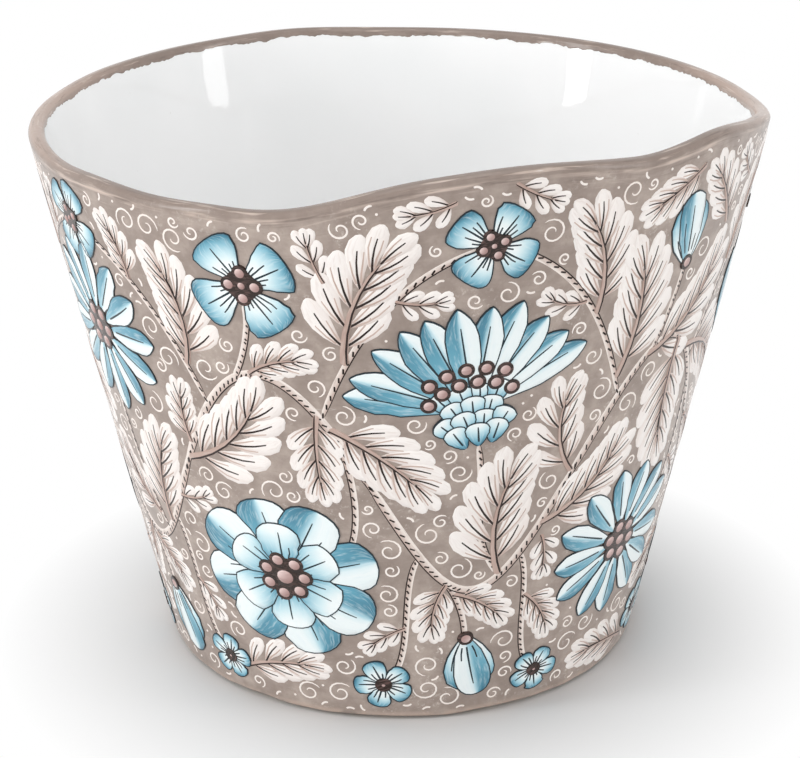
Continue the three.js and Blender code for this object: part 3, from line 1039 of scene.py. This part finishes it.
def paint_frond(spot, rib, leaflets, length):
    """Each pair of leaflets overlaps the pair before, and the rib goes over them all."""
    for i, line in enumerate(leaflets):
        top = LEAF_TOP + LEAF_STEP * (i // 2)
        reach = np.linalg.norm(line[-1] - line[0])
        half = unsteady((0.165 * reach + 0.6 * MM) * LEAFLET)
        leaf_paint.stroke(spot, line, half, top, leaf_white, LEAF_ACROSS)
        leaf_lines.line(spot, line[:7], 0.45 * MM + 0.03 * reach, top + LINE_RISE, STEM_INK, taper=0.6)
        if reach > SIDE_VEIN_REACH:
            for side in (-0.55, 0.55):
                vein = beside(line, side * half)[1:draw.integers(6, 8)]
                leaf_lines.line(spot, vein, VEIN_WIDTH, top + LINE_RISE, VEIN_PINK, taper=0.7)
    width = 0.02 * length + 0.3 * MM
    top = LEAF_TOP + LEAF_STEP * (len(leaflets) // 2 + 1)
    leaf_paint.stroke(spot, rib, width * RIB_WIDTHS, top, LEAF_TINTS[0], LEAF_ACROSS)
    shaded = beside(rib, 0.5 * width * RIB_WIDTHS)
    leaf_lines.line(spot, shaded, 0.7 * width, top + LINE_RISE, STEM_INK, taper=0.5)


def past_the_edge(spot, flat):
    """Whether any of the points comes too close to the lip or to the foot."""
    theta, up = to_wall(spot, flat)
    below_lip = (LIP_HEIGHT + lip_rise(theta)) / COS_LEAN - up
    return np.any((up < PLAIN_AT_FOOT + LEAF_MARGIN) | (below_lip < PLAIN_AT_LIP + LEAF_MARGIN))


def frond_fits(spot, length, bend):
    """Paints a frond if there is room for it, and says whether there was."""
    rib = rib_line(length, bend)
    if share_covered(spot, rib[3:], 0.1 * length) > RIB_CROWDING:
        return False
    leaflets = frond_leaflets(length, bend)
    blades = np.vstack([leaflet[3:] for leaflet in leaflets])
    if share_covered(spot, blades, 1.2 * MM) > BLADE_CROWDING:
        return False
    if past_the_edge(spot, np.vstack([rib, blades])):
        return False
    paint_frond(spot, rib, leaflets, length)
    return True


def sprout(spot, line, index, side, lengths):
    """Paints the first frond that finds room at a place on a stem, if any does."""
    ahead = line[index + 1] - line[index - 1]
    start = to_wall(spot, line[index:index + 1])
    if flower_cells[cells_near(*start, FLOWER_MARGIN)].any():
        return
    theta, up = (float(place[0]) for place in start)
    heading = math.atan2(ahead[1], ahead[0]) + (theta - spot[0]) * SIN_LEAN
    for length in lengths:
        for lean in FROND_LEANS:
            turn = heading - side * lean - UPRIGHT
            if frond_fits((theta, up, turn), length * MM, side * draw.uniform(0.2, 0.9)):
                return


def wall_spots(spacing):
    """Spots all over the wall, about "spacing" apart and off any grid."""
    for up in np.arange(PLAIN_AT_FOOT, LIP_HEIGHT * 1.15, spacing):
        count = int(2 * math.pi * (FOOT_RADIUS + SIN_LEAN * up) / spacing)
        for i in range(count):
            theta = 2 * math.pi * (i + draw.uniform(-0.4, 0.4)) / count
            yield theta, up + draw.uniform(-0.4, 0.4) * spacing, draw.uniform(0, 2 * math.pi)


for lengths in FROND_LENGTHS:
    for spot, line in stem_runs:
        for index in range(2, len(line) - 2, 2):
            for side in (-1, 1):
                sprout(spot, line, index, side, lengths)
for length in SPRIG_LENGTHS:
    for theta, up, turn in wall_spots(SPRIG_SPACING):
        for third in range(3):
            spot = (theta, up, turn + third * 2 * math.pi / 3)
            if frond_fits(spot, length * MM, draw.uniform(-0.6, 0.6)):
                break

leaf_paint.piece("painted_leaves", paint_finish(
    "white_leaf_paint", thin_paint="dccdc5", streak_share=0.4, roughness=(0.32, 0.45)))
leaf_lines.piece("leaf_veins", paint_finish(
    "brown_vein_paint", thin_paint="4d3f3b", streak_share=0.2, roughness=(0.35, 0.5)))


# Painted curls: cream hooks, commas and dots that fill the ground between the leaves. They are trailed on
# with a fine pointed brush, each in one turn of the wrist.
CURL_TOP = 0.06 * MM
CURL_WIDTH = 0.68 * MM
CURL_SIZES = (4.4, 3.9, 3.4, 2.8, 2.2)  # millimetres, in the order in which they are tried
CURL_SPACING = 2.2 * MM
CURL_HALF_TURNS = (2.5, 2.9)
CURL_CROWDING = 0.1  # the most of the ground under a curl that may be painted already
CURL_CREAM = colour("fbf2ec")
CURL_SHARES = np.linspace(0, 1, 22)
COMPASS = np.array([polar(1, k * math.pi / 4) for k in range(8)])
COMMA_LENGTH = 2.8 * MM
COMMA_BEND = 1.6
COMMA_SPACING = 1.8 * MM
COMMA_SHARE = 0.4  # of the places with room for one
DOT_RADIUS = 0.42 * MM
DOT_SPACING = 1.6 * MM
DOT_SHARE = 0.3
MIDDLE = np.zeros((1, 2))
curl_paint = Paint()

for size in CURL_SIZES:
    for spot in wall_spots(CURL_SPACING):
        if share_covered(spot, MIDDLE, size * MM) > CURL_CROWDING or past_the_edge(spot, size * MM * COMPASS):
            continue
        turn = draw.choice((-1, 1)) * draw.uniform(*CURL_HALF_TURNS) * math.pi * CURL_SHARES
        away = (size - 0.3) * MM * (1 - 0.82 * CURL_SHARES)
        hook = np.column_stack([away * np.cos(turn), away * np.sin(turn)])
        curl_paint.line(spot, hook, CURL_WIDTH, CURL_TOP, CURL_CREAM, taper=0.3)
        covered[cells_near(np.array([spot[0]]), np.array([spot[1]]), (size - 0.8) * MM)] = True
for spot in wall_spots(COMMA_SPACING):
    bend = draw.choice((-COMMA_BEND, COMMA_BEND))
    comma = curve((0, -COMMA_LENGTH / 2), COMMA_LENGTH, UPRIGHT, bend, LEAF_SHARES)
    if draw.random() < COMMA_SHARE and share_covered(spot, comma, 0.9 * MM) == 0:
        curl_paint.line(spot, comma, CURL_WIDTH, CURL_TOP, CURL_CREAM)
for spot in wall_spots(DOT_SPACING):
    if draw.random() < DOT_SHARE and share_covered(spot, MIDDLE, 1.1 * MM) == 0:
        curl_paint.bead(spot, (0, 0), DOT_RADIUS, 2 * CURL_TOP, CURL_CREAM, DISC, sides=8)

curl_paint.piece("painted_curls", paint_finish(
    "cream_trailed_paint", thin_paint="d8cac0", streak_share=0.35, roughness=(0.34, 0.46)))


# Drain stopper: moulded rubber, pushed into the drain hole from inside. A flange seats on the glazed floor,
# a ribbed plug fills the hole, and a knob on a neck is there to pull it out by.
stopper_low, stopper_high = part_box("drain_stopper")
FLANGE_RADIUS = stopper_high.x
FLANGE_THICK = 2.4 * MM
FLANGE_ROUND = 1 * MM
FLANGE_BEVEL = 0.3 * MM
FLANGE_RIM = 2.6 * MM  # a raised rim, with a dish inside it
DISH_DEPTH = 0.5 * MM
DISH_SLOPE = 0.4 * MM
PLUG_RADIUS = DRAIN_RADIUS - 0.3 * MM
PLUG_TAPER = 0.8 * MM
PLUG_RIB = 0.25 * MM
PLUG_BEVEL = 0.5 * MM
PLUG_WALL = 2.4 * MM  # round the hollow in its end
PLUG_HOLLOW = 1.5 * MM
HOLLOW_SIDE = 0.6 * MM
NECK_RADIUS = 3.2 * MM
NECK_ROUND = 1.5 * MM
KNOB_RADIUS = 5.5 * MM
KNOB_HEIGHT = 6 * MM
KNOB_DIMPLE = (1.6 * MM, 0.1 * MM, 0.5 * MM)  # radius, depth at its edge and in its middle
STOPPER_COLUMNS = 96


def turned_solid(name, profile, columns, centre=(0, 0), fray=0.0):
    """A solid turned about an upright axis, from a profile whose two ends lie on it."""
    theta = np.linspace(-math.pi, math.pi, columns, endpoint=False)
    rows = len(profile) - 2
    frayed = np.random.default_rng(41).normal(0, fray, (rows, columns)) if fray else 0
    radius = profile[1:-1, 0, None] + frayed
    height = np.repeat(profile[1:-1, 1, None], columns, axis=1)
    rings = np.stack([centre[0] + radius * np.cos(theta), centre[1] + radius * np.sin(theta), height], -1)
    ends = [(*centre, z) for z in profile[[0, -1], 1]]
    quads, triangles = capped_rings(rows, columns)
    return smooth_piece(name, np.vstack([rings.reshape(-1, 3), ends]), quads.tolist() + triangles.tolist())


stopper_seat = FLOOR_TOP + COAT + SHELF_GAP
flange_top = stopper_seat + FLANGE_THICK
dish = flange_top - DISH_DEPTH
knob_top = stopper_high.z
knob = arc(0, 0, 1, -math.pi / 4, math.pi / 2, 15)[:-1] * (KNOB_RADIUS, KNOB_HEIGHT / 2)
plug_end = stopper_low.z
plug_tip = PLUG_RADIUS - PLUG_TAPER
plug_ribs = np.array([
    [plug_tip + PLUG_TAPER * share - PLUG_RIB * (i % 2), plug_end + share * (stopper_seat - plug_end)]
    for i, share in enumerate(np.linspace(0.06, 0.97, 13))
])
stopper_profile = np.vstack([
    [[0, plug_end + PLUG_HOLLOW], [plug_tip - PLUG_WALL - HOLLOW_SIDE, plug_end + PLUG_HOLLOW]],
    [[plug_tip - PLUG_WALL, plug_end], [plug_tip - PLUG_BEVEL, plug_end]],
    plug_ribs,
    [[PLUG_RADIUS, stopper_seat], [FLANGE_RADIUS - FLANGE_BEVEL, stopper_seat]],
    arc(FLANGE_RADIUS - FLANGE_ROUND, flange_top - FLANGE_ROUND, FLANGE_ROUND, 0, math.pi / 2, 6),
    [[FLANGE_RADIUS - FLANGE_RIM, flange_top], [FLANGE_RADIUS - FLANGE_RIM - DISH_SLOPE, dish]],
    arc(NECK_RADIUS + NECK_ROUND, dish + NECK_ROUND, NECK_ROUND, -math.pi / 2, -math.pi, 6),
    knob + (0, knob_top - KNOB_HEIGHT / 2),
    [[KNOB_DIMPLE[0], knob_top - KNOB_DIMPLE[1]], [0, knob_top - KNOB_DIMPLE[2]]],
])
drain_stopper = turned_solid("drain_stopper_rubber", stopper_profile, STOPPER_COLUMNS)

rubber_material, tree, shader = new_material("moulded_rubber")
rubber_colour, rubber_grain = mottled(tree, base="3b3937", pale="4a4745", dark="302e2d",
                                      patch_scale=160.0, speck_scale=1800.0, speck_share=0.4)
set_finish(tree, shader, rubber_colour, rubber_grain, (0.55, 0.75), (0.2, 0.08 * MM))
drain_stopper.data.materials.append(rubber_material)
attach(drain_stopper, "stopper")
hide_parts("drain_stopper")


# Felt pads: discs punched from grey pressed felt, stuck under the foot ring so that the clay doesn't scratch
# the shelf. Their cut edges are a little frayed.
PAD_COUNT = 4
PAD_EDGE = 0.35 * MM
PAD_FRAY = 0.05 * MM
PAD_COLUMNS = 72

felt_material, tree, shader = new_material("pressed_felt")
felt_colour, felt_fibres = mottled(tree, base="8d8781", pale="a19b94", dark="6f6a65",
                                   patch_scale=500.0, speck_scale=2600.0, speck_share=0.8)
set_finish(tree, shader, felt_colour, felt_fibres, (0.9, 1.0), (0.6, 0.15 * MM))
set_inputs(tree, shader, {"Sheen Weight": 0.3})
for i in range(PAD_COUNT):
    node = f"felt_pad_{i + 1}"
    low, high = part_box(node)
    pad_radius = (high.x - low.x) / 2
    pad_profile = np.vstack([
        [[0, 0], [0.5 * pad_radius, 0]],
        arc(pad_radius - PAD_EDGE, PAD_EDGE, PAD_EDGE, -math.pi / 2, 0, 4),
        arc(pad_radius - PAD_EDGE, high.z - PAD_EDGE, PAD_EDGE, 0, math.pi / 2, 4),
        [[0.5 * pad_radius, high.z], [0, high.z]],
    ])
    middle = ((low.x + high.x) / 2, (low.y + high.y) / 2)
    felt_pad = turned_solid(node + "_felt", pad_profile, PAD_COLUMNS, middle, PAD_FRAY)
    felt_pad.data.materials.append(felt_material)
    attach(felt_pad, "pot")
    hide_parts(node)


# Stage: a pale table and plain studio light. An upright strip light on either side, made of two lamps that
# cross at a slight tilt, shows in the glaze. Two broad fills, a lamp overhead and a pale room do the rest.
TABLE_SIZE = 6.0
FADE_MIDDLE = (0.004, -0.007, 0)
FADE_FROM = 0.071  # from that middle, where the table starts to fade to the white of the room
FADE_TO = 0.133
WHITE = (1.0, 1.0, 1.0, 1.0)
STRIP_SIZE = (0.2, 1.5)
STRIP_AWAY = 1.6
LEFT_STRIP = -68.5  # degrees to the right of the camera's side
RIGHT_STRIP = 70.0
FILL_SIZE = (2.4, 0.7)
FILL_AWAY = 2.2
LAMP_FOOT = 0.02
OVERHEAD_SIZE = 1.4
OVERHEAD_PLACE = (-0.1, -0.2, 1.7)
ROOM_LIGHT = 0.58


def upright_lamp(name, azimuth, distance, size, power, tilt=0):
    """A lamp that faces the pot. Azimuth 0 is the camera's side, and positive is to the right, as tilt is."""
    lamp = bpy.data.lights.new(name, "AREA")
    lamp.shape = "RECTANGLE"
    lamp.size, lamp.size_y = size
    lamp.energy = power
    turn = math.radians(azimuth)
    middle = size[1] / 2 + LAMP_FOOT
    place = Matrix.Translation((distance * math.sin(turn), -distance * math.cos(turn), middle))
    upright = Matrix.Rotation(turn, 4, "Z") @ Matrix.Rotation(math.pi / 2, 4, "X")
    holder = add_object(name, lamp)
    holder.matrix_world = place @ upright @ Matrix.Rotation(math.radians(tilt), 4, "Z")
    return holder


def seen_rays(tree):
    """1 on rays that show the stage itself, or show it in gloss or glass."""
    rays = add_node(tree, "ShaderNodeLightPath").outputs
    shown = sums(tree, "MAXIMUM", rays["Is Camera Ray"], rays["Is Transmission Ray"])
    return sums(tree, "MAXIMUM", shown, rays["Is Glossy Ray"])


for tilt in (-3, 6):
    upright_lamp("left_strip", LEFT_STRIP, STRIP_AWAY, STRIP_SIZE, power=6.5, tilt=tilt)
for side, azimuth, power in (("front", 0, 9.0), ("back", 180, 6.0)):
    fill = upright_lamp(side + "_fill", azimuth, FILL_AWAY, FILL_SIZE, power)
    fill.visible_glossy = False
for tilt in (3, -8):
    upright_lamp("right_strip", RIGHT_STRIP, STRIP_AWAY, STRIP_SIZE, power=3.25, tilt=tilt)
overhead = bpy.data.lights.new("overhead", "AREA")
overhead.size = OVERHEAD_SIZE
overhead.energy = 9.5
add_object("overhead", overhead).location = OVERHEAD_PLACE

world = bpy.data.worlds.new("pale_room")
bpy.context.scene.world = world
world.use_nodes = True
tree = world.node_tree
room = tree.nodes["Background"]
room.inputs["Color"].default_value = WHITE
tree.links.new(between(tree, seen_rays(tree), 0.0, 1.0, ROOM_LIGHT, 1.0), room.inputs["Strength"])

table_mesh = bpy.data.meshes.new("table_top")
table_corners = [(x * TABLE_SIZE / 2, y * TABLE_SIZE / 2, 0) for x, y in ((-1, -1), (1, -1), (1, 1), (-1, 1))]
table_mesh.from_pydata(table_corners, [], [(0, 1, 2, 3)])
table_top = add_object("table_top", table_mesh)
table_material, tree, shader = new_material("pale_table")
set_inputs(tree, shader, {"Base Color": rgba("dadada"), "Roughness": 0.8})
# Painted shadow: to the camera the table is grey only round a middle set off towards the front and the right,
# and white beyond it. The shadow that the lamps cast falls on that grey.
from_middle = {0: object_place(tree), 1: FADE_MIDDLE}
far = add_node(tree, "ShaderNodeVectorMath", from_middle, operation="DISTANCE").outputs["Value"]
glow = add_node(tree, "ShaderNodeEmission", {"Color": WHITE, "Strength": 1.0})
fade = times(tree, between(tree, far, FADE_FROM, FADE_TO), seen_rays(tree))
faded = add_node(tree, "ShaderNodeMixShader", {0: fade, 1: shader.outputs[0], 2: glow.outputs[0]})
tree.links.new(faded.outputs[0], tree.nodes["Material Output"].inputs["Surface"])
table_top.data.materials.append(table_material)
table_top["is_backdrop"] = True


# Camera: at the photograph's viewpoint, an arm's length in front of the pot and above its lip, with a long
# lens. It dips towards the pot and rolls by half a degree, as the photograph does.
CAMERA_PLACE = Vector((0, -636.0 * MM, 334.0 * MM))
CAMERA_DIP = 0.3812
CAMERA_ROLL = -0.0094
CAMERA_LENS = 98.02
SENSOR_WIDTH = 36.0
camera = bpy.data.cameras.new("camera")
camera.sensor_width = SENSOR_WIDTH
camera.lens = CAMERA_LENS
camera_holder = add_object("camera", camera)
camera_holder.matrix_world = (
    Matrix.Translation(CAMERA_PLACE)
    @ Matrix.Rotation(math.pi / 2 - CAMERA_DIP, 4, "X")
    @ Matrix.Rotation(CAMERA_ROLL, 4, "Z")
)
bpy.context.scene.camera = camera_holder
bpy.context.scene.view_settings.view_transform = "Standard"

low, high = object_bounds()
